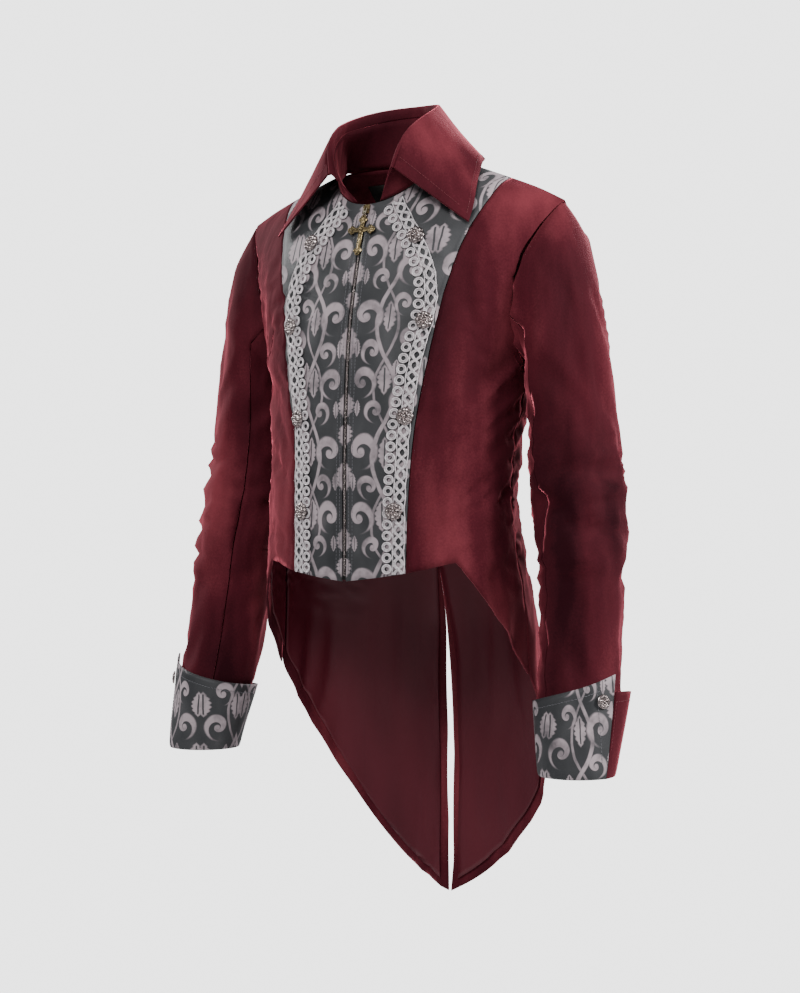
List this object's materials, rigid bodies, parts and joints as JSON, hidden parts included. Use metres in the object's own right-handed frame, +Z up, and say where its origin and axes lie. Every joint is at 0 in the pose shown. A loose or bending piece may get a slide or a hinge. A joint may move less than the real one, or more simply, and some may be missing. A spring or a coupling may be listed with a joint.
{
  "type": "velvet tailcoat",
  "caption": "Cropped velvet tailcoat with figured fronts, lace, a pointed collar, turned-back cuffs, long tails and a zip whose cross pull swings; hollow, as if worn.",
  "frame": {"origin": "between the neck ends of the shoulder seams, where the wearer's shoulders carry the coat", "axes": "+Z up, the wearer faces -Y and their left side is +X"},
  "size_m": [0.6078, 0.255, 0.9653],
  "materials": {
    "velvet": "crushed velvet",
    "satin": "satin",
    "figured_cloth": "figured satin",
    "lining": "plain weave",
    "lace_thread": "braided thread",
    "brass": "antique",
    "silver": "aged silver"
  },
  "bodies": {
    "coat": {"front_centre_left": "figured_cloth", "front_centre_right": "figured_cloth", "cuff_front_left": "figured_cloth", "cuff_front_right": "figured_cloth", "front_side_left": "velvet", "front_side_right": "velvet", "back_left": "velvet", "back_right": "velvet", "sleeve_upper_left": "velvet", "sleeve_upper_right": "velvet", "sleeve_under_left": "velvet", "sleeve_under_right": "velvet", "cuff_back_left": "velvet", "cuff_back_right": "velvet", "collar_stand": "velvet", "collar_fall": "velvet", "neck_lining": "lining", "zip_tape": "lining", "tail_lining_left": "satin", "tail_lining_right": "satin", "side_lining_left": "satin", "side_lining_right": "satin", "lace_left": "lace_thread", "lace_right": "lace_thread", "rosette_left_1": "silver", "rosette_left_2": "silver", "rosette_left_3": "silver", "rosette_left_4": "silver", "rosette_right_1": "silver", "rosette_right_2": "silver", "rosette_right_3": "silver", "rosette_right_4": "silver", "cuff_button_left": "silver", "cuff_button_right": "silver", "zip_chain": "silver", "zip_slider": "brass"},
    "pull_tab": {"pull_tab": "brass"},
    "cross": {"jump_ring": "brass", "cross": "brass"}
  },
  "joints": [
    {"name": "pull_tab_hinge", "type": "hinge", "parent": "coat", "child": "pull_tab", "pos_m": [0, -0.0992, -0.0519], "axis": [-1, 0, 0], "range_deg": [0, 150]},
    {"name": "cross_hinge", "type": "hinge", "parent": "pull_tab", "child": "cross", "pos_m": [0, -0.1019, -0.0599], "axis": [-1, 0, 0], "range_deg": [0, 60]}
  ]
}
